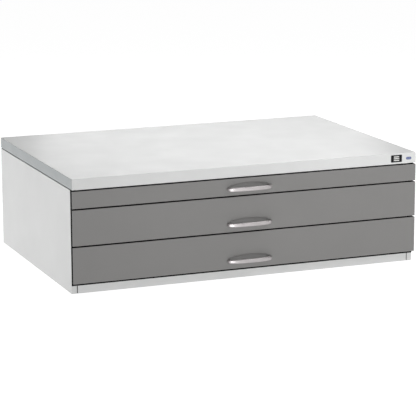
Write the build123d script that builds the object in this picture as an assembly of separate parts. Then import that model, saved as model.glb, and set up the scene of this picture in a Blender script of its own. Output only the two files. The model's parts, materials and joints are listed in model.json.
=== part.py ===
from build123d import *
import math
import os

# Flat file cabinet: a steel carcass with a thick worktop plate and three wide, shallow
# drawers on full-extension telescopic slides.
#
# The shapes are first built in a working frame: X across with 0 in the middle, Y = 0 on
# the front faces of the drawers and growing towards the back, Z = 0 on the floor.
# save() then moves them so that the origin is under the middle of the whole cabinet.

# ---------------------------------------------------------------- driving dimensions, mm
WIDTH = 1350.0
DEPTH = 900.0                 # from the drawer fronts to the back
HEIGHT = 420.0
PLATE_THICKNESS = 40.0

SHEET = 1.0                   # steel sheet of the carcass and the drawers
PLATE_SHEET = 1.25            # steel sheet of the worktop plate
BEND = 2.0                    # outside radius of a folded corner

FRONT_THICKNESS = 20.0        # painted skin and black edging together
SKIN_EDGE = 3.0               # depth of the painted skin's folded edge
TRIM_INSET = 0.3              # the black edging stands this much inside the skin's edge
TRIM_WIDTH = 5.0
CARCASS_FRONT = 22.0          # the carcass stands this far behind the drawer fronts
WALL = 20.0                   # thickness of the double side wall
JOINT = 2.4                   # visible joint between side wall and plinth or back
FLANGE = 20.0                 # depth of the folded flanges
SIDE_TOP = 376.8              # top of the side walls, with a shadow joint under the plate

# Height of each drawer front above the floor: bottom and top edge, top drawer first.
DRAWER_FRONTS = {1: (312.5, 375.0), 2: (177.5, 307.5), 3: (40.0, 172.5)}
TRAY_LIFT = 8.0               # the tray's floor above the front's bottom edge
TRAY_HEIGHTS = {1: 36.0, 2: 104.0, 3: 104.0}
TRAY_HALF_WIDTH = 634.5
TRAY_BACK = 881.0
RIM_HEIGHT = 12.0             # the tray's walls are hemmed double down to this depth
HOOD_LENGTH = 140.0           # hold-down hood over the back of the tray

PLINTH_TOP = 38.5
GASKET_BOTTOM = 29.5
GASKET_FRONT = 20.3
RAIL_BOTTOM = 362.0
RAIL_DEPTH = 40.0
PLATE_LIP = 42.0              # folded lip under the plate, which sits on the top rails

SLIDE_HALF_HEIGHT = 18.0
SLIDE_FRONT = 30.0
SLIDE_BACK = 880.0
SLIDE_SHEET = 1.5
DRAWER_TRAVEL = 820.0
BALL_RADIUS = 1.4
BALL_PITCH = 60.0
BALLS_IN_CAGE = 7

HANDLE_HALF = 88.0            # half of the handle's length
HANDLE_REACH = 27.0           # how far it stands in front of the drawer
HANDLE_RISES = {1: 25.5, 2: 29.0, 3: 30.5}    # middle of each above its front's bottom edge
HANDLE_FOOT = 14.0            # width of each foot
HANDLE_FOOT_HEIGHT = 14.5
HANDLE_BAR_HEIGHT = 15.0
HANDLE_BAR_DEPTH = 8.0
BOW_POWER = 2.7               # 2 is an ellipse, and more has squarer shoulders
RECESS_HALF = 73.5            # finger recess behind the handle
RECESS_DEPTH = 9.0            # just under its top edge
RECESS_SLANT = 15.0           # degrees by which its back wall leans out towards the bottom
RECESS_TAPER = 40.0           # degrees by which its rim wall leans
RECESS_TOP_END = 13.5         # height of the recess edge above the handle's middle line
RECESS_TOP_MID = 22.5
RECESS_BOTTOM = -9.0
RECESS_CORNER = 8.0

# ---------------------------------------------------------------- worked-out dimensions
HALF = WIDTH / 2
PLATE_BOTTOM = HEIGHT - PLATE_THICKNESS
WALL_INNER = HALF - WALL              # inner edge of the side wall's front flange
LINER_FACE = WALL_INNER - SHEET       # face of the inner wall that the slides are on
PANEL_HALF = WALL_INNER - JOINT       # half width of plinth and back panel
FRAME_SHIFT = -(DEPTH - HANDLE_REACH) / 2

PLATE_SCREWS_X = (-560.0, 0.0, 560.0)
SLIDE_SCREWS_Y = (90.0, 330.0, 570.0, 810.0)
FRONT_SCREWS_X = (-560.0, -190.0, 190.0, 560.0)
SIDES = {"left": -1, "right": 1}


# ---------------------------------------------------------------- small helpers
def block(x0, x1, y0, y1, z0, z1):
    """A box between two opposite corners."""
    return Pos((x0 + x1) / 2, (y0 + y1) / 2, (z0 + z1) / 2) * Box(x1 - x0, y1 - y0, z1 - z0)


def to_side(shape, side):
    """A shape drawn for the right-hand side, or its mirror image on the left."""
    return shape if side > 0 else mirror(shape, about=Plane.YZ)


def both_sides(shape):
    return [shape, mirror(shape, about=Plane.YZ)]


def rod_x(radius, x0, x1, y, z):
    """A round rod along X."""
    return Pos((x0 + x1) / 2, y, z) * Rot(0, 90, 0) * Cylinder(radius, x1 - x0)


def rod_y(radius, y0, y1, x, z):
    """A round rod along Y."""
    return Pos(x, (y0 + y1) / 2, z) * Rot(90, 0, 0) * Cylinder(radius, y1 - y0)


def rod_z(radius, z0, z1, x, y):
    """A round rod along Z."""
    return Pos(x, y, (z0 + z1) / 2) * Cylinder(radius, z1 - z0)


def save(name, shapes):
    """Write one node: all solids of the shapes, moved to the cabinet's own origin."""
    group = shapes if isinstance(shapes, list) else [shapes]
    solids = [Pos(0, FRAME_SHIFT, 0) * solid for shape in group for solid in shape.solids()]
    export_step(Compound(children=solids), f"parts/{name}.step")


# ---------------------------------------------------------------- worktop plate
def plate_screw_places():
    front = CARCASS_FRONT + 11
    back = DEPTH - 33
    return [(x, y) for x in PLATE_SCREWS_X for y in (front, back)]


def top_plate():
    """Folded steel pan, open below, with a lip all round its underside."""
    t = PLATE_SHEET
    pan = block(-HALF, HALF, 0, DEPTH, PLATE_BOTTOM, HEIGHT)
    pan = fillet(pan.edges(), BEND)
    pan -= block(-HALF + t, HALF - t, t, DEPTH - t, PLATE_BOTTOM + t, HEIGHT - t)
    pan -= block(-HALF + PLATE_LIP, HALF - PLATE_LIP, PLATE_LIP, DEPTH - PLATE_LIP,
                 PLATE_BOTTOM - 1, PLATE_BOTTOM + t + 1)
    for x, y in plate_screw_places():
        pan -= rod_z(3.2, PLATE_BOTTOM - 1, PLATE_BOTTOM + t + 1, x, y)
    return pan


def plate_stiffener(x):
    """Upside-down channel under the plate, from front lip to back lip."""
    width = 60.0
    top = HEIGHT - PLATE_SHEET
    bottom = PLATE_BOTTOM + 4
    y0 = PLATE_LIP + 3
    y1 = DEPTH - PLATE_LIP - 3
    channel = block(x - width / 2, x + width / 2, y0, y1, bottom, top)
    hollow = block(x - width / 2 + PLATE_SHEET, x + width / 2 - PLATE_SHEET, y0 - 1, y1 + 1,
                   bottom - 1, top - PLATE_SHEET)
    return channel - hollow


def top_rail(y0):
    """Cross rail that ties the side walls together and carries the plate."""
    rail = block(-LINER_FACE, LINER_FACE, y0, y0 + RAIL_DEPTH, RAIL_BOTTOM, PLATE_BOTTOM)
    rail -= block(-LINER_FACE - 1, LINER_FACE + 1, y0 + SHEET, y0 + RAIL_DEPTH - SHEET,
                  RAIL_BOTTOM - 1, PLATE_BOTTOM - SHEET)
    for x, y in plate_screw_places():
        rail -= rod_z(3.2, PLATE_BOTTOM - SHEET - 1, PLATE_BOTTOM + 1, x, y)
    return rail


def plate_screw(x, y):
    """M6 pan-head screw from below."""
    head_top = PLATE_BOTTOM - SHEET
    head = rod_z(6.0, head_top - 4, head_top, x, y)
    head = fillet(head.edges().sort_by(Axis.Z)[0], 1.5)
    slot = block(x - 3, x + 3, y - 0.6, y + 0.6, head_top - 5, head_top - 2.5)
    return head + rod_z(3.0, head_top, PLATE_BOTTOM + 8, x, y) - slot


def plate_nut(x, y):
    """Weld nut on the plate's lip."""
    z0 = PLATE_BOTTOM + PLATE_SHEET
    nut = Pos(x, y, z0) * extrude(RegularPolygon(5.5, 6), 4.5)
    return nut - rod_z(3.05, z0 - 1, z0 + 6, x, y)


# ---------------------------------------------------------------- carcass
def side_panel(side):
    """Outer skin of a side wall, folded round to a front and a back flange."""
    t = SHEET
    wall = block(WALL_INNER, HALF, CARCASS_FRONT, DEPTH, 0, SIDE_TOP)
    wall = fillet(wall.edges().filter_by(Axis.Z), BEND)
    wall -= block(WALL_INNER + t, HALF - t, CARCASS_FRONT + t, DEPTH - t, t, SIDE_TOP + 1)
    wall -= block(WALL_INNER - 1, WALL_INNER + t + 1, CARCASS_FRONT + FLANGE, DEPTH - FLANGE,
                  t, SIDE_TOP + 1)
    return to_side(wall, side)


def slide_middle_height(drawer):
    return DRAWER_FRONTS[drawer][0] + TRAY_LIFT + SLIDE_HALF_HEIGHT


def side_liner(side):
    """Inner skin of a side wall, which the slides are screwed to."""
    z0 = 4.0
    y0 = CARCASS_FRONT + 2
    flange_y0 = CARCASS_FRONT + FLANGE + 2
    flange_y1 = DEPTH - FLANGE - 2
    liner = block(LINER_FACE, WALL_INNER, y0, DEPTH - 3, z0, SIDE_TOP)
    for z in (z0, SIDE_TOP - SHEET):
        liner += block(WALL_INNER, HALF - 4, flange_y0, flange_y1, z, z + SHEET)
    for drawer in DRAWER_FRONTS:
        for y in SLIDE_SCREWS_Y:
            liner -= rod_x(2.5, LINER_FACE - 1, WALL_INNER + 1, y, slide_middle_height(drawer))
    return to_side(liner, side)


def back_panel():
    """Folded pan between the side walls' back flanges, down to the floor."""
    pan = block(-PANEL_HALF, PANEL_HALF, DEPTH - FLANGE, DEPTH, 0, SIDE_TOP)
    pan -= block(-PANEL_HALF + SHEET, PANEL_HALF - SHEET, DEPTH - FLANGE - 1, DEPTH - SHEET,
                 SHEET, SIDE_TOP - SHEET)
    return pan


def base_panel():
    """Bottom of the carcass, with its edges folded down."""
    top = PLINTH_TOP - SHEET
    y0 = CARCASS_FRONT + SHEET
    y1 = DEPTH - FLANGE - 0.5
    pan = block(-LINER_FACE, LINER_FACE, y0, y1, top - FLANGE, top)
    pan -= block(-LINER_FACE + SHEET, LINER_FACE - SHEET, y0 + SHEET, y1 - SHEET,
                 top - FLANGE - 1, top - SHEET)
    return pan


def plinth_panel():
    """Folded channel between the side walls' front flanges."""
    channel = block(-PANEL_HALF, PANEL_HALF, CARCASS_FRONT, CARCASS_FRONT + FLANGE, 0, PLINTH_TOP)
    channel -= block(-PANEL_HALF - 1, PANEL_HALF + 1, CARCASS_FRONT + SHEET,
                     CARCASS_FRONT + FLANGE + 1, SHEET, PLINTH_TOP - SHEET)
    return channel


def front_gasket():
    """Thin black seal on the carcass front: a bottom strip, two uprights, and the plinth's joints."""
    outer = HALF - 0.5
    bottom = block(-outer, outer, GASKET_FRONT, CARCASS_FRONT, GASKET_BOTTOM, PLINTH_TOP)
    upright = block(WALL_INNER, outer, GASKET_FRONT, CARCASS_FRONT, PLINTH_TOP, SIDE_TOP)
    joint = block(PANEL_HALF, WALL_INNER, CARCASS_FRONT + 0.2, CARCASS_FRONT + SHEET, 1, GASKET_BOTTOM)
    return [bottom] + both_sides(upright) + both_sides(joint)


# ---------------------------------------------------------------- telescopic slides
def channel_along_y(web_x0, web_x1, lip_x, y0, y1, middle_z, half_height):
    """C-section with its web between two X values and lips that reach to lip_x."""
    section = block(web_x0, web_x1, y0, y1, middle_z - half_height, middle_z + half_height)
    x0 = min(lip_x, web_x0)
    x1 = max(lip_x, web_x1)
    top = middle_z + half_height
    bottom = middle_z - half_height
    section += block(x0, x1, y0, y1, top - SLIDE_SHEET, top)
    section += block(x0, x1, y0, y1, bottom, bottom + SLIDE_SHEET)
    return section


def cabinet_member(drawer):
    """Fixed outer member of the right-hand slide, on the side wall."""
    z = slide_middle_height(drawer)
    member = channel_along_y(LINER_FACE - SLIDE_SHEET, LINER_FACE, TRAY_HALF_WIDTH + 2.5,
                             SLIDE_FRONT, SLIDE_BACK, z, SLIDE_HALF_HEIGHT)
    for y in SLIDE_SCREWS_Y:
        member -= rod_x(2.5, LINER_FACE - SLIDE_SHEET - 1, LINER_FACE + 1, y, z)
    return member


def middle_member(drawer):
    """Middle member, which travels half as far as the drawer."""
    z = slide_middle_height(drawer)
    web = LINER_FACE - 6.25
    member = channel_along_y(web, web + SLIDE_SHEET, TRAY_HALF_WIDTH + 3,
                             SLIDE_FRONT + 2, SLIDE_BACK - 2, z, SLIDE_HALF_HEIGHT - 4.5)
    for y in SLIDE_SCREWS_Y:
        member -= rod_x(5.0, web - 1, web + SLIDE_SHEET + 1, y, z)
    return member


def drawer_member(drawer):
    """Inner member, on the side of the tray."""
    z = slide_middle_height(drawer)
    member = channel_along_y(TRAY_HALF_WIDTH, TRAY_HALF_WIDTH + SLIDE_SHEET, TRAY_HALF_WIDTH + 11,
                             SLIDE_FRONT, SLIDE_BACK, z, SLIDE_HALF_HEIGHT - 9)
    for y in SLIDE_SCREWS_Y:
        member -= rod_x(2.2, TRAY_HALF_WIDTH - 1, TRAY_HALF_WIDTH + SLIDE_SHEET + 1, y, z)
    return member


def ball_cage(x, y0, z):
    """Strip that holds a row of steel balls between two members."""
    length = BALL_PITCH * BALLS_IN_CAGE
    cage = block(x - 2.5, x + 2.5, y0, y0 + length, z - 0.5, z + 0.5)
    for i in range(BALLS_IN_CAGE):
        cage += Pos(x, y0 + (i + 0.5) * BALL_PITCH, z) * Sphere(BALL_RADIUS)
    return cage


def ball_cages(drawer):
    """Four rows on each side: two by the fixed member and two by the drawer member."""
    middle = slide_middle_height(drawer)
    outer_gap = SLIDE_HALF_HEIGHT - 3
    inner_gap = SLIDE_HALF_HEIGHT - 7.5
    outer_y = SLIDE_FRONT + DRAWER_TRAVEL / 2 + 10
    inner_y = SLIDE_FRONT + 10
    cages = []
    for up in (-1, 1):
        cages += both_sides(ball_cage(TRAY_HALF_WIDTH + 8, outer_y, middle + up * outer_gap))
        cages += both_sides(ball_cage(TRAY_HALF_WIDTH + 6.5, inner_y, middle + up * inner_gap))
    return cages


def cabinet_slide_screw(y, z):
    """Pan-head screw that holds the fixed member on the side wall."""
    face = LINER_FACE - SLIDE_SHEET
    head = rod_x(3.8, face - 1.8, face, y, z)
    cross = block(face - 2, face - 1, y - 2.2, y + 2.2, z - 0.5, z + 0.5)
    cross += block(face - 2, face - 1, y - 0.5, y + 0.5, z - 2.2, z + 2.2)
    return head + rod_x(2.4, face, WALL_INNER + 6, y, z) - cross


def drawer_slide_screw(y, z):
    """Pan-head screw that holds the drawer member on the tray."""
    face = TRAY_HALF_WIDTH + SLIDE_SHEET
    head = rod_x(3.6, face, face + 1.6, y, z)
    cross = block(face + 0.8, face + 2, y - 2.0, y + 2.0, z - 0.5, z + 0.5)
    cross += block(face + 0.8, face + 2, y - 0.5, y + 0.5, z - 2.0, z + 2.0)
    return head + rod_x(2.0, TRAY_HALF_WIDTH - 3, face, y, z) - cross


# ---------------------------------------------------------------- drawer fronts
def recess_outline():
    """Half-moon of the finger recess in the plane of the front, round the handle's middle."""
    end = RECESS_HALF
    low = RECESS_BOTTOM + 4
    rim = ThreePointArc((-end, RECESS_TOP_END), (0, RECESS_TOP_MID), (end, RECESS_TOP_END))
    right = Line((end, RECESS_TOP_END), (end, low))
    floor = ThreePointArc((end, low), (0, RECESS_BOTTOM), (-end, low))
    left = Line((-end, low), (-end, RECESS_TOP_END))
    outline = make_face([rim, right, floor, left])
    return fillet(outline.vertices(), RECESS_CORNER)


def on_front(sketch, z):
    """A sketch turned upright, with its own Y as height above z, facing the back."""
    upright = Plane(origin=(0, 0, z), x_dir=(-1, 0, 0), z_dir=(0, 1, 0))
    return upright * sketch


def finger_recess(z, grow, depth):
    """Cup of the recess, deepest under its top edge, with its back wall leaning out below."""
    outline = recess_outline()
    if grow:
        outline = offset(outline, grow)
    cup = extrude(on_front(outline, z), depth, taper=RECESS_TAPER)
    behind = block(-HANDLE_HALF, HANDLE_HALF, 0, 50, -60, 60)
    return cup - Pos(0, depth, z + RECESS_TOP_MID) * Rot(-RECESS_SLANT, 0, 0) * behind


def front_panel(drawer):
    """Painted steel skin of a drawer front, with the finger recess pressed in."""
    z0, z1 = DRAWER_FRONTS[drawer]
    handle_z = z0 + HANDLE_RISES[drawer]
    skin = block(-HALF, HALF, 0, SKIN_EDGE, z0, z1)
    face_edges = skin.faces().sort_by(Axis.Y)[0].edges()
    skin = fillet(face_edges, 1.2)
    skin -= block(-HALF + SHEET, HALF - SHEET, SHEET, SKIN_EDGE + 1, z0 + SHEET, z1 - SHEET)
    skin += finger_recess(handle_z, SHEET, RECESS_DEPTH + SHEET)
    skin -= finger_recess(handle_z, 0, RECESS_DEPTH)
    for x in handle_screw_x():
        skin -= rod_y(2.25, -1, SKIN_EDGE, x, handle_z)
    return skin


def edge_trim(drawer):
    """Black edging round the drawer front, behind the painted skin: four strips."""
    z0, z1 = DRAWER_FRONTS[drawer]
    z0 += TRIM_INSET
    z1 -= TRIM_INSET
    x = HALF - TRIM_INSET
    y0, y1 = SKIN_EDGE, FRONT_THICKNESS
    bottom = block(-x, x, y0, y1, z0, z0 + TRIM_WIDTH)
    top = block(-x, x, y0, y1, z1 - TRIM_WIDTH, z1)
    upright = block(x - TRIM_WIDTH, x, y0, y1, z0 + TRIM_WIDTH, z1 - TRIM_WIDTH)
    return [bottom, top] + both_sides(upright)


def front_liner(drawer):
    """Inner shell of the drawer front, inside the edging, with its open side to the skin."""
    z0, z1 = DRAWER_FRONTS[drawer]
    edge = TRIM_INSET + TRIM_WIDTH
    x = HALF - edge
    shell = block(-x, x, SHEET, FRONT_THICKNESS, z0 + edge, z1 - edge)
    shell -= block(-x + SHEET, x - SHEET, 0, FRONT_THICKNESS - SHEET,
                   z0 + edge + SHEET, z1 - edge - SHEET)
    for screw_x in FRONT_SCREWS_X:
        shell -= rod_y(2.6, FRONT_THICKNESS - 3, FRONT_THICKNESS + 1, screw_x, front_screw_z(drawer))
    return shell


# ---------------------------------------------------------------- handles
def handle_screw_x():
    x = HANDLE_HALF - HANDLE_FOOT / 2
    return (-x, x)


def bow_section(angle):
    """Cross-section of the bow where its middle line has turned through angle.

    Seen from above, the middle line is half a superellipse from foot to foot.
    """
    a = HANDLE_HALF - HANDLE_FOOT / 2
    b = HANDLE_REACH - HANDLE_BAR_DEPTH / 2
    cos = math.cos(angle)
    across = math.copysign(abs(cos) ** (2 / BOW_POWER), cos)
    out = math.sin(angle) ** (2 / BOW_POWER)
    normal = Vector(math.copysign(abs(across) ** (BOW_POWER - 1), across) / a,
                    -out ** (BOW_POWER - 1) / b, 0).normalized()
    along = Vector(normal.Y, -normal.X, 0)
    nearness = 1 - out
    depth = HANDLE_BAR_DEPTH + (HANDLE_FOOT - HANDLE_BAR_DEPTH) * nearness ** 1.2
    height = HANDLE_BAR_HEIGHT + (HANDLE_FOOT_HEIGHT - HANDLE_BAR_HEIGHT) * nearness
    place = Plane(origin=(a * across, -b * out, 0), x_dir=normal, z_dir=along)
    return place * RectangleRounded(depth, height, depth * 0.42)


def handle(drawer):
    """Cast bow handle, stouter at its feet, with a blind screw hole in each foot."""
    quarter = [0, 2, 6, 13, 24, 38, 55, 72]
    angles = quarter + [90] + [180 - angle for angle in reversed(quarter)]
    bow = loft([bow_section(math.radians(angle)) for angle in angles])
    for x in handle_screw_x():
        bow -= rod_y(2.05, -9, 1, x, 0)
    return Pos(0, 0, DRAWER_FRONTS[drawer][0] + HANDLE_RISES[drawer]) * bow


def handle_screw(x, z):
    """M4 pan-head screw from inside the front into the handle's foot."""
    head = rod_y(3.5, SHEET, SHEET + 2.4, x, z)
    slot = block(x - 2.2, x + 2.2, SHEET + 1.4, SHEET + 3, z - 0.5, z + 0.5)
    return head + rod_y(2.0, -8, SHEET, x, z) - slot


# ---------------------------------------------------------------- trays
def tray_floor(drawer):
    return DRAWER_FRONTS[drawer][0] + TRAY_LIFT


def front_screw_z(drawer):
    return tray_floor(drawer) + TRAY_HEIGHTS[drawer] / 2


def tray(drawer):
    """Tray of five welded sheets: a floor, and walls whose rim is hemmed flat at sides and back."""
    z0 = tray_floor(drawer)
    z1 = z0 + TRAY_HEIGHTS[drawer]
    hem_z = z1 - RIM_HEIGHT
    x = TRAY_HALF_WIDTH
    inner = x - SHEET
    y0 = FRONT_THICKNESS
    y1 = TRAY_BACK
    floor = block(-inner, inner, y0 + SHEET, y1 - SHEET, z0, z0 + SHEET)
    front = block(-inner, inner, y0, y0 + SHEET, z0, z1)
    for screw_x in FRONT_SCREWS_X:
        front -= rod_y(2.6, y0 - 1, y0 + SHEET + 1, screw_x, front_screw_z(drawer))
    back = block(-inner, inner, y1 - SHEET, y1, z0, z1)
    back += block(-inner + SHEET, inner - SHEET, y1 - 2 * SHEET, y1 - SHEET, hem_z, z1)
    side = block(inner, x, y0, y1, z0, z1)
    side += block(inner - SHEET, inner, y0 + SHEET, y1 - SHEET, hem_z, z1)
    for y in SLIDE_SCREWS_Y:
        side -= rod_x(2.1, inner - 1, x + 1, y, slide_middle_height(drawer))
    return [floor, front, back] + both_sides(side)


def tray_stiffener(drawer, y):
    """Shallow channel across the underside of the tray."""
    half = 560.0
    width = 50.0
    depth = 5.0
    top = tray_floor(drawer)
    channel = block(-half, half, y - width / 2, y + width / 2, top - depth, top)
    hollow = block(-half - 1, half + 1, y - width / 2 + SHEET, y + width / 2 - SHEET,
                   top - depth + SHEET, top + 1)
    return channel - hollow


def rear_hood(drawer):
    """Sheet-metal hood that keeps the back edges of the papers down."""
    z = tray_floor(drawer) + TRAY_HEIGHTS[drawer]
    y0 = TRAY_BACK - HOOD_LENGTH
    lip_x = TRAY_HALF_WIDTH - 2 * SHEET - 1
    hood = block(-TRAY_HALF_WIDTH, TRAY_HALF_WIDTH, y0, TRAY_BACK, z, z + SHEET)
    return hood + block(-lip_x, lip_x, y0, y0 + SHEET, z - 9, z)


def front_screw(x, z):
    """M5 screw through the tray's front wall into the front's inner shell."""
    face = FRONT_THICKNESS + SHEET
    head = rod_y(4.5, face, face + 2.6, x, z)
    slot = block(x - 3, x + 3, face + 1.6, face + 3, z - 0.6, z + 0.6)
    return head + rod_y(2.5, face - 9, face, x, z) - slot


# ---------------------------------------------------------------- blank plates on the worktop
def name_plate():
    """Blank rectangular plate near the right end of the worktop's front edge."""
    plate = extrude(on_front(RectangleRounded(45, 27, 2.5), 0), 0.8)
    return Pos(594, -0.8, PLATE_BOTTOM + 20.5) * plate


def edge_button():
    """Small blank oval beside it."""
    button = extrude(on_front(SlotOverall(22, 10.5), 0), 0.8)
    return Pos(645, -0.8, PLATE_BOTTOM + 19) * button


# ---------------------------------------------------------------- write every node
os.makedirs("parts", exist_ok=True)

save("top_plate", top_plate())
save("top_plate_stiffeners", [plate_stiffener(x) for x in (-330.0, 0.0, 330.0)])
save("front_top_rail", top_rail(CARCASS_FRONT + 2))
save("rear_top_rail", top_rail(DEPTH - FLANGE - RAIL_DEPTH - 4))
save("top_plate_screws", [plate_screw(x, y) for x, y in plate_screw_places()])
save("top_plate_nuts", [plate_nut(x, y) for x, y in plate_screw_places()])
for side_name, side_sign in SIDES.items():
    save(f"{side_name}_side_panel", side_panel(side_sign))
    save(f"{side_name}_side_liner", side_liner(side_sign))
save("back_panel", back_panel())
save("base_panel", base_panel())
save("plinth_panel", plinth_panel())
save("front_gasket", front_gasket())
save("name_plate", name_plate())
save("edge_button", edge_button())

wall_screws = []
for number in DRAWER_FRONTS:
    slide_z = slide_middle_height(number)
    handle_z = DRAWER_FRONTS[number][0] + HANDLE_RISES[number]
    drawer_screws = []
    for screw_y in SLIDE_SCREWS_Y:
        wall_screws += both_sides(cabinet_slide_screw(screw_y, slide_z))
        drawer_screws += both_sides(drawer_slide_screw(screw_y, slide_z))
    save(f"drawer_{number}_cabinet_members", both_sides(cabinet_member(number)))
    save(f"drawer_{number}_middle_members", both_sides(middle_member(number)))
    save(f"drawer_{number}_ball_cages", ball_cages(number))
    save(f"drawer_{number}_slide_members", both_sides(drawer_member(number)))
    save(f"drawer_{number}_slide_screws", drawer_screws)
    save(f"drawer_{number}_front_panel", front_panel(number))
    save(f"drawer_{number}_edge_trim", edge_trim(number))
    save(f"drawer_{number}_front_liner", front_liner(number))
    save(f"drawer_{number}_handle", handle(number))
    save(f"drawer_{number}_handle_screws", [handle_screw(x, handle_z) for x in handle_screw_x()])
    save(f"drawer_{number}_tray", tray(number))
    save(f"drawer_{number}_tray_stiffeners",
         [tray_stiffener(number, y) for y in (200.0, 450.0, 700.0)])
    save(f"drawer_{number}_rear_hood", rear_hood(number))
    save(f"drawer_{number}_front_screws",
         [front_screw(x, front_screw_z(number)) for x in FRONT_SCREWS_X])
save("cabinet_slide_screws", wall_screws)
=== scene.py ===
import json
import math

import bpy
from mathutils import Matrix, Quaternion, Vector


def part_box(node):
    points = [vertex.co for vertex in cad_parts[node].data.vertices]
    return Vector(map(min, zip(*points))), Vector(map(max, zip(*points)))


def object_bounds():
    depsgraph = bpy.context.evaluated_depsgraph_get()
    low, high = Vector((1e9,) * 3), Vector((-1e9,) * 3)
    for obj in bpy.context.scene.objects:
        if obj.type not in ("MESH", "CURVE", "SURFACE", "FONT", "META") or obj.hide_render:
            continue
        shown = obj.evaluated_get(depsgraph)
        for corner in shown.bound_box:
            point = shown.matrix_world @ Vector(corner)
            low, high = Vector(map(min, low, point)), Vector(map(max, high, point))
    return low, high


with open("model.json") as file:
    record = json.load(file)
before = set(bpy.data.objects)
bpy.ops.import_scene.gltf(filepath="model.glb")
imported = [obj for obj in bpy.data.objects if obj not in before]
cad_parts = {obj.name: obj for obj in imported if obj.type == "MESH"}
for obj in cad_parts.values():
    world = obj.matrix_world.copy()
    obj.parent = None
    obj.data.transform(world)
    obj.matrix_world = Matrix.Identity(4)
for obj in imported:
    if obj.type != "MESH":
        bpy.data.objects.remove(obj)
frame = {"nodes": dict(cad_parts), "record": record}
cad_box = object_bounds()

# Flat file cabinet: the looks. Metres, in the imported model's own frame: X across, Y towards
# the back, Z up from the floor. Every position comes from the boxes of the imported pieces.

# ---------------------------------------------------------------- camera
CAMERA_AZIMUTH = 21.65         # degrees to the left of straight in front
CAMERA_HEIGHT_ANGLE = 12.2     # degrees above the horizon
CAMERA_DISTANCE = 7.7
CAMERA_ROLL = 0.2              # degrees, the picture turned counter-clockwise
CAMERA_LENS = 173.6            # mm
SENSOR_WIDTH = 36.0            # mm
CAMERA_FAR = 200.0
AIM_OFFSET = Vector((0.007, -0.010, -0.034))   # from the middle of the cabinet

# ---------------------------------------------------------------- colours, linear light
LIGHT_GREY = (0.715, 0.720, 0.715)
# Painted shade: the top plate's end faces, darker and bluer than its top and front.
PLATE_END_SHADE_GREY = (0.30, 0.33, 0.335)
FRONT_GREY = (0.214, 0.210, 0.205)
TRAY_GREY = (0.62, 0.63, 0.63)
BLACK = (0.005, 0.0052, 0.0056)
RUBBER_BLACK = (0.004, 0.004, 0.0045)
SATIN_SILVER = (0.41, 0.388, 0.39)
ZINC = (0.60, 0.62, 0.64)
CAGE_STEEL = (0.42, 0.42, 0.43)
PLATE_DARK = (0.005, 0.005, 0.006)
BADGE_WHITE = (0.75, 0.75, 0.73)
BUTTON_BLUE = (0.15, 0.18, 0.33)
WHITE = (1.0, 1.0, 1.0)

# ---------------------------------------------------------------- surface detail
# Noise patterns: size of the features in metres, octaves of detail.
POWDER_CLOUDS = (0.22, 3.0)
POWDER_SPECKS = (0.0011, 1.0)
POWDER_RUBBED = (0.018, 4.0)
POWDER_HANDLED = (0.09, 5.0)
ORANGE_PEEL = (0.0024, 2.0)
POWDER_GRAIN = (0.0007, 1.0)
PLASTIC_CLOUDS = (0.03, 4.0)
PLASTIC_GLOSS = (0.012, 3.0)
PLASTIC_GRAIN = (0.0009, 2.0)
RUBBER_GRAIN = (0.0016, 2.0)
SILVER_CLOUDS = (0.02, 4.0)
SILVER_SPECKS = (0.0006, 1.0)
SILVER_GLOSS = (0.006, 4.0)
SILVER_GRAIN = (0.0009, 2.0)
STEEL_CLOUDS = (0.035, 4.0)
STEEL_STREAKS = (0.0012, 3.0)
STREAK_SQUEEZE = (1.0, 0.02, 1.0)   # makes the streaks long along Y
ENAMEL_CLOUDS = (0.008, 3.0)
ENAMEL_GLOSS = (0.003, 3.0)
ENAMEL_RIPPLE = (0.0015, 2.0)
FLOOR_CLOUDS = (0.8, 3.0)

USUAL_NOISE = (0.3, 0.7)            # where most of a noise pattern's values lie
CORE_NOISE = (0.35, 0.65)
# Reach of the painted shade in the inner corners of painted pieces.
CORNER_SHADE_REACH = 0.004
# Reach of the painted shade in the inner corners of steel pieces.
HOLLOW_SHADE_REACH = 0.006
FOLD_WEAR_RADIUS = 0.0012
FOLD_BEGINS = 0.90                  # cosine between the true and the rounded normal
SIDEWAYS = (0.75, 0.97)             # how far a normal leans along X, from not yet to fully

# ---------------------------------------------------------------- the badge's sign
BADGE_BARS = 3
BADGE_PITCHES = 4.0            # the badge's height, in pitches of the bars
BADGE_BAR_HALF_HEIGHT = 0.27   # in pitches
BADGE_BAR_HALF_WIDTH = 0.5     # as a part of the badge's half width

# ---------------------------------------------------------------- studio
FLOOR_HALF_SIDE = 60.0
FLOOR_GLOW = 0.97
FLOOR_TONE = 0.30
FLOOR_TONE_RISE = 0.02
WALL_GLOW = 0.25
CEILING_GLOW = 0.0
WALL_TOP = 0.10                # upward part of the direction where the wall starts to fade
CEILING_EDGE = 0.55            # and where it has faded into the ceiling

# Softboxes: azimuth and elevation in degrees, distance, width, height, radiance.
SOFTBOXES = {
    "overhead": (180, 84, 3.2, 2.6, 1.8, 5.4),
    "low_behind": (158, 15, 5.0, 2.2, 1.4, 1.2),
    "left": (-105, 18, 3.6, 2.0, 2.0, 1.2),
    "right_front": (35, 38, 1.9, 0.8, 0.8, 4.0),
    "front": (8, 9, 3.4, 1.6, 0.9, 2.6),
}

# Small lights on the floor for the handles alone.
GLINT_AZIMUTH = -42.0
GLINT_HEIGHT = 0.01
GLINT_SIZE = 0.8               # side of each light, as a part of its distance
GLINT_RADIANCE = 4.0

DRAWERS = (1, 2, 3)


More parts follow.
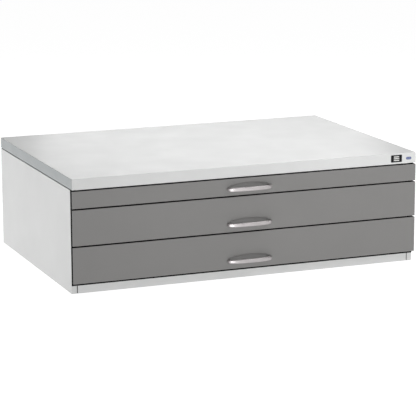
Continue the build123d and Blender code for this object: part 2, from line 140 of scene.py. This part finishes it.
# ---------------------------------------------------------------- shader helper
class Paint:
    """One material's node tree, with short calls that add nodes to it."""

    def __init__(self, name):
        self.material = bpy.data.materials.new(name)
        self.material.use_nodes = True
        self.tree = self.material.node_tree
        self.surface = self.tree.nodes["Principled BSDF"]
        self.place = self.node("TexCoord").outputs["Object"]
        self.bumped = None

    def node(self, kind, **settings):
        made = self.tree.nodes.new("ShaderNode" + kind)
        for key, value in settings.items():
            setattr(made, key, value)
        return made

    def link(self, source, target):
        self.tree.links.new(source, target)

    def feed(self, socket, given):
        """Give an input a socket to read, a colour or a number."""
        if isinstance(given, tuple):
            socket.default_value = (*given, 1.0)
        elif isinstance(given, (int, float)):
            socket.default_value = given
        else:
            self.link(given, socket)

    def set(self, **values):
        """Inputs of the surface shader, named with _ for a space."""
        for name, given in values.items():
            self.feed(self.surface.inputs[name.replace("_", " ")], given)

    def squeezed(self, factors):
        """The place on the object, scaled along each axis."""
        scaled = self.node("Mapping")
        scaled.inputs["Scale"].default_value = factors
        self.link(self.place, scaled.inputs["Vector"])
        return scaled.outputs["Vector"]

    def noise(self, pattern, place=None):
        """Soft noise from 0 to 1."""
        size, detail = pattern
        made = self.node("TexNoise")
        made.inputs["Scale"].default_value = 1.0 / size
        made.inputs["Detail"].default_value = detail
        self.link(place or self.place, made.inputs["Vector"])
        return made.outputs["Fac"]

    def spread(self, source, span, start=0.0, end=1.0):
        """source from the ends of span to start and end, clamped."""
        made = self.node("MapRange")
        names = ("From Min", "From Max", "To Min", "To Max")
        for name, number in zip(names, (*span, start, end)):
            made.inputs[name].default_value = number
        self.link(source, made.inputs["Value"])
        return made.outputs["Result"]

    def maths(self, operation, *values):
        made = self.node("Math", operation=operation)
        for socket, given in zip(made.inputs, values):
            self.feed(socket, given)
        return made.outputs["Value"]

    def mixed(self, factor, a, b):
        """Two colours mixed by a factor from 0 to 1. Each is a tuple or a socket."""
        made = self.node("Mix", data_type="RGBA")
        by_number = {socket.identifier: socket for socket in made.inputs}
        self.feed(by_number["Factor_Float"], factor)
        self.feed(by_number["A_Color"], a)
        self.feed(by_number["B_Color"], b)
        return next(s for s in made.outputs if s.identifier == "Result_Color")

    def clouded(self, pattern, span, colour, darkest, lightest):
        """colour in soft clouds, between two shades of it."""
        clouds = self.spread(self.noise(pattern), span)
        return self.mixed(clouds, shade(colour, darkest), shade(colour, lightest))

    def around(self, number, noise, less, more):
        """number, from a little less to a little more by a noise."""
        return self.spread(noise, USUAL_NOISE, number - less, number + more)

    def folds(self, radius):
        """1 along sharp edges, falling to 0 at about radius metres from them."""
        bevel = self.node("Bevel", samples=4)
        bevel.inputs["Radius"].default_value = radius
        normal = self.node("NewGeometry").outputs["Normal"]
        dot = self.node("VectorMath", operation="DOT_PRODUCT")
        self.link(bevel.outputs["Normal"], dot.inputs[0])
        self.link(normal, dot.inputs[1])
        return self.spread(dot.outputs["Value"], (FOLD_BEGINS, 1.0), start=1.0, end=0.0)

    def corners(self, distance):
        """1 in the open, lower in the piece's own inner corners."""
        made = self.node("AmbientOcclusion", samples=6, only_local=True)
        made.inputs["Distance"].default_value = distance
        return made.outputs["AO"]

    def sideways(self):
        """1 on faces that look along X, 0 on all others."""
        normal = self.node("SeparateXYZ")
        self.link(self.node("NewGeometry").outputs["Normal"], normal.inputs["Vector"])
        return self.spread(self.maths("ABSOLUTE", normal.outputs["X"]), SIDEWAYS)

    def bump(self, height, depth, strength):
        """One more layer of relief, depth metres deep, over the layers before it."""
        made = self.node("Bump")
        made.inputs["Distance"].default_value = depth
        made.inputs["Strength"].default_value = strength
        self.link(height, made.inputs["Height"])
        if self.bumped:
            self.link(self.bumped, made.inputs["Normal"])
        self.bumped = made.outputs["Normal"]
        self.link(self.bumped, self.surface.inputs["Normal"])


def shade(colour, factor):
    return tuple(channel * factor for channel in colour)


# ---------------------------------------------------------------- materials
def powder_coat(name, colour, roughness, coat, end_shade_colour=None):
    """Satin powder coat: orange peel, faint clouds, painted shade in its inner corners, thin on
    the folds. A given end colour is painted shade on the faces that look along X.
    """
    paint = Paint(name)
    tone = paint.clouded(POWDER_CLOUDS, USUAL_NOISE, colour, darkest=0.975, lightest=1.02)
    # Painted shade: the faces that look along X take the darker end colour.
    if end_shade_colour:
        tone = paint.mixed(paint.sideways(), tone, end_shade_colour)
    specks = paint.spread(paint.noise(POWDER_SPECKS), (0.60, 0.80), end=0.10)
    tone = paint.mixed(specks, tone, shade(colour, 0.6))
    # Painted shade: darker in the piece's own inner corners, by ambient occlusion.
    painted_corner_shade = paint.spread(paint.corners(CORNER_SHADE_REACH), (0.35, 0.95), start=0.30, end=0.0)
    tone = paint.mixed(painted_corner_shade, tone, shade(colour, 0.5))
    patches = paint.spread(paint.noise(POWDER_RUBBED), (0.42, 0.62), end=0.35)
    rubbed = paint.maths("MULTIPLY", paint.folds(FOLD_WEAR_RADIUS), patches)
    tone = paint.mixed(rubbed, tone, shade(colour, 1.22))
    rough = paint.around(roughness, paint.noise(POWDER_HANDLED), less=0.05, more=0.06)
    paint.set(Base_Color=tone, Roughness=rough, Coat_Weight=coat, Coat_Roughness=0.22)
    paint.bump(paint.noise(ORANGE_PEEL), depth=0.00012, strength=0.35)
    paint.bump(paint.noise(POWDER_GRAIN), depth=0.00003, strength=0.25)
    return paint.material


def black_plastic(name, colour, roughness, grain):
    """Matt black plastic or rubber with a fine grain."""
    paint = Paint(name)
    tone = paint.clouded(PLASTIC_CLOUDS, CORE_NOISE, colour, darkest=0.8, lightest=1.6)
    rough = paint.around(roughness, paint.noise(PLASTIC_GLOSS), less=0.07, more=0.07)
    paint.set(Base_Color=tone, Roughness=rough, Specular_IOR_Level=0.01)
    paint.bump(paint.noise(grain), depth=0.00008, strength=0.5)
    return paint.material


def satin_metal(name, colour, roughness):
    """Cast and tumbled silver metal with a fine grain in all directions."""
    paint = Paint(name)
    tone = paint.clouded(SILVER_CLOUDS, USUAL_NOISE, colour, darkest=0.93, lightest=1.05)
    specks = paint.spread(paint.noise(SILVER_SPECKS), (0.55, 0.75), end=0.05)
    tone = paint.mixed(specks, tone, shade(colour, 0.6))
    rough = paint.around(roughness, paint.noise(SILVER_GLOSS), less=0.06, more=0.08)
    paint.set(Base_Color=tone, Roughness=rough, Metallic=0.85)
    paint.bump(paint.noise(SILVER_GRAIN), depth=0.00001, strength=0.1)
    return paint.material


def drawn_steel(name, colour, roughness):
    """Zinc-plated steel: drawing lines along Y, cloudy plating, painted shade in the corners."""
    paint = Paint(name)
    streaks = paint.noise(STEEL_STREAKS, paint.squeezed(STREAK_SQUEEZE))
    tone = paint.clouded(STEEL_CLOUDS, CORE_NOISE, colour, darkest=0.86, lightest=1.08)
    lines = paint.spread(streaks, (0.45, 0.75), end=0.30)
    tone = paint.mixed(lines, tone, shade(colour, 0.55))
    # Painted shade: much darker in the piece's own inner corners, by ambient occlusion.
    painted_hollow_shade = paint.spread(paint.corners(HOLLOW_SHADE_REACH), (0.2, 0.8), start=0.45, end=0.0)
    tone = paint.mixed(painted_hollow_shade, tone, shade(colour, 0.30))
    rough = paint.around(roughness, streaks, less=0.06, more=0.10)
    paint.set(Base_Color=tone, Roughness=rough, Metallic=1.0)
    paint.bump(streaks, depth=0.00004, strength=0.4)
    return paint.material


def enamel(name, colour, roughness):
    """Smooth enamel with a faint ripple."""
    paint = Paint(name)
    tone = paint.clouded(ENAMEL_CLOUDS, USUAL_NOISE, colour, darkest=0.85, lightest=1.2)
    rough = paint.around(roughness, paint.noise(ENAMEL_GLOSS), less=0.05, more=0.08)
    paint.set(Base_Color=tone, Roughness=rough)
    paint.bump(paint.noise(ENAMEL_RIPPLE), depth=0.00004, strength=0.3)
    return paint.material


def badge(name, colour, mark_colour, node):
    """Dark badge with three short bars in light enamel, a plain sign for a stack of drawers."""
    paint = Paint(name)
    low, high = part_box(node)
    split = paint.node("SeparateXYZ")
    paint.link(paint.place, split.inputs["Vector"])
    across = paint.spread(split.outputs["X"], (low.x, high.x), start=-1.0, end=1.0)
    up = paint.spread(split.outputs["Z"], (low.z, high.z))
    rows = paint.maths("MULTIPLY_ADD", up, BADGE_PITCHES, (BADGE_BARS - BADGE_PITCHES) / 2)
    in_row = paint.maths("COMPARE", paint.maths("FRACT", rows), 0.5, BADGE_BAR_HALF_HEIGHT)
    in_stack = paint.maths("COMPARE", rows, BADGE_BARS / 2, BADGE_BARS / 2)
    in_width = paint.maths("COMPARE", across, 0.0, BADGE_BAR_HALF_WIDTH)
    mark = paint.maths("MULTIPLY", paint.maths("MULTIPLY", in_row, in_stack), in_width)
    ground = paint.clouded(ENAMEL_CLOUDS, USUAL_NOISE, colour, darkest=0.8, lightest=1.3)
    light = paint.clouded(ENAMEL_CLOUDS, USUAL_NOISE, mark_colour, darkest=0.92, lightest=1.0)
    rough = paint.spread(paint.noise(ENAMEL_GLOSS), USUAL_NOISE, start=0.35, end=0.50)
    paint.set(Base_Color=paint.mixed(mark, ground, light), Roughness=rough, Specular_IOR_Level=0.2)
    paint.bump(paint.noise(ENAMEL_RIPPLE), depth=0.00004, strength=0.3)
    paint.bump(mark, depth=0.0001, strength=0.5)
    return paint.material


def dress(node, material):
    """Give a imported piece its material."""
    piece = frame["nodes"][node]
    piece.data.materials.clear()
    piece.data.materials.append(material)


materials = {
    "carcass_paint": powder_coat("carcass_paint", LIGHT_GREY, roughness=0.36, coat=0.25),
    "front_paint": powder_coat("front_paint", FRONT_GREY, roughness=0.38, coat=0.20),
    "tray_paint": powder_coat("tray_paint", TRAY_GREY, roughness=0.42, coat=0.10),
    "black_edging": black_plastic("black_edging", BLACK, 0.55, PLASTIC_GRAIN),
    "gasket_rubber": black_plastic("gasket_rubber", RUBBER_BLACK, 0.80, RUBBER_GRAIN),
    "handle_metal": satin_metal("handle_metal", SATIN_SILVER, roughness=0.37),
    "zinc_steel": drawn_steel("zinc_steel", ZINC, roughness=0.30),
    "cage_steel": drawn_steel("cage_steel", CAGE_STEEL, roughness=0.26),
    "dark_plate": badge("dark_plate", PLATE_DARK, BADGE_WHITE, "name_plate"),
    "button_enamel": enamel("button_enamel", BUTTON_BLUE, roughness=0.25),
}
for subpart in frame["record"]["subparts"]:
    dress(subpart["node"], materials[subpart["material_slot"]])
# The top plate's paint, with painted shade on its two end faces.
dress("top_plate", powder_coat("plate_paint_shaded_ends", LIGHT_GREY, 0.34, 0.30, end_shade_colour=PLATE_END_SHADE_GREY))


# ---------------------------------------------------------------- floor and surroundings
def floor():
    """Large pale studio floor."""
    half = FLOOR_HALF_SIDE
    mesh = bpy.data.meshes.new("studio_floor")
    corners = [(-half, -half, 0.0), (half, -half, 0.0), (half, half, 0.0), (-half, half, 0.0)]
    mesh.from_pydata(corners, [], [(0, 1, 2, 3)])
    piece = bpy.data.objects.new("studio_floor", mesh)
    bpy.context.scene.collection.objects.link(piece)
    paint = Paint("studio_floor")
    tone = paint.mixed(paint.noise(FLOOR_CLOUDS), shade(WHITE, FLOOR_TONE),
                       shade(WHITE, FLOOR_TONE + FLOOR_TONE_RISE))
    paint.set(Base_Color=tone, Roughness=0.9, Emission_Color=WHITE, Emission_Strength=FLOOR_GLOW)
    mesh.materials.append(paint.material)


def surroundings():
    """White studio walls that turn darker overhead."""
    world = bpy.data.worlds.new("studio")
    bpy.context.scene.world = world
    world.use_nodes = True
    nodes = world.node_tree.nodes
    links = world.node_tree.links
    way = nodes.new("ShaderNodeTexCoord")
    parts = nodes.new("ShaderNodeSeparateXYZ")
    fade = nodes.new("ShaderNodeMapRange")
    fade.interpolation_type = "SMOOTHSTEP"
    fade.inputs["From Min"].default_value = WALL_TOP
    fade.inputs["From Max"].default_value = CEILING_EDGE
    fade.inputs["To Min"].default_value = WALL_GLOW
    fade.inputs["To Max"].default_value = CEILING_GLOW
    links.new(way.outputs["Generated"], parts.inputs["Vector"])
    links.new(parts.outputs["Z"], fade.inputs["Value"])
    background = nodes["Background"]
    background.inputs["Color"].default_value = (*WHITE, 1.0)
    links.new(fade.outputs["Result"], background.inputs["Strength"])


# ---------------------------------------------------------------- lights
middle = (cad_box[0] + cad_box[1]) / 2


def direction(azimuth, elevation):
    """From the cabinet outwards: azimuth 0 is straight in front, positive to the right."""
    a, e = math.radians(azimuth), math.radians(elevation)
    return Vector((math.sin(a) * math.cos(e), -math.cos(a) * math.cos(e), math.sin(e)))


def area_light(name, place, rotation, width, height, radiance):
    """Rectangular light of an even radiance."""
    lamp = bpy.data.lights.new(name, "AREA")
    lamp.shape = "RECTANGLE"
    lamp.size = width
    lamp.size_y = height
    lamp.energy = radiance * math.pi * width * height
    light = bpy.data.objects.new(name, lamp)
    light.location = place
    light.rotation_euler = rotation
    light.visible_camera = False
    bpy.context.scene.collection.objects.link(light)
    return light


def softbox(name, azimuth, elevation, distance, width, height, radiance):
    """Light that looks at the middle of the cabinet."""
    outwards = direction(azimuth, elevation)
    rotation = outwards.to_track_quat("Z", "Y").to_euler()
    area_light(name, middle + outwards * distance, rotation, width, height, radiance)


def handle_light(number, handles):
    """Light on the floor for the handles alone: the left end of one mirrors it to the camera."""
    low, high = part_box(f"drawer_{number}_handle")
    handle = (low + high) / 2
    reach = handle.z / math.tan(math.radians(CAMERA_HEIGHT_ANGLE))
    place = handle + direction(GLINT_AZIMUTH, 0.0) * reach
    place.z = GLINT_HEIGHT
    side = reach * GLINT_SIZE
    facing_up = (math.pi, 0.0, math.radians(GLINT_AZIMUTH))
    light = area_light(f"glint_{number}", place, facing_up, side, side, GLINT_RADIANCE)
    light.light_linking.receiver_collection = handles


def lights():
    for name, place_and_power in SOFTBOXES.items():
        softbox(name, *place_and_power)
    handles = bpy.data.collections.new("handles")
    for number in DRAWERS:
        handles.objects.link(frame["nodes"][f"drawer_{number}_handle"])
    for number in DRAWERS:
        handle_light(number, handles)


# ---------------------------------------------------------------- camera
def camera():
    data = bpy.data.cameras.new("camera")
    data.lens = CAMERA_LENS
    data.sensor_width = SENSOR_WIDTH
    data.clip_end = CAMERA_FAR
    view = bpy.data.objects.new("camera", data)
    outwards = direction(-CAMERA_AZIMUTH, CAMERA_HEIGHT_ANGLE)
    view.location = middle + AIM_OFFSET + outwards * CAMERA_DISTANCE
    roll = Quaternion((0.0, 0.0, 1.0), math.radians(-CAMERA_ROLL))
    view.rotation_euler = (outwards.to_track_quat("Z", "Y") @ roll).to_euler()
    bpy.context.scene.collection.objects.link(view)
    bpy.context.scene.camera = view


floor()
surroundings()
lights()
camera()
bpy.context.scene.view_settings.view_transform = "Standard"
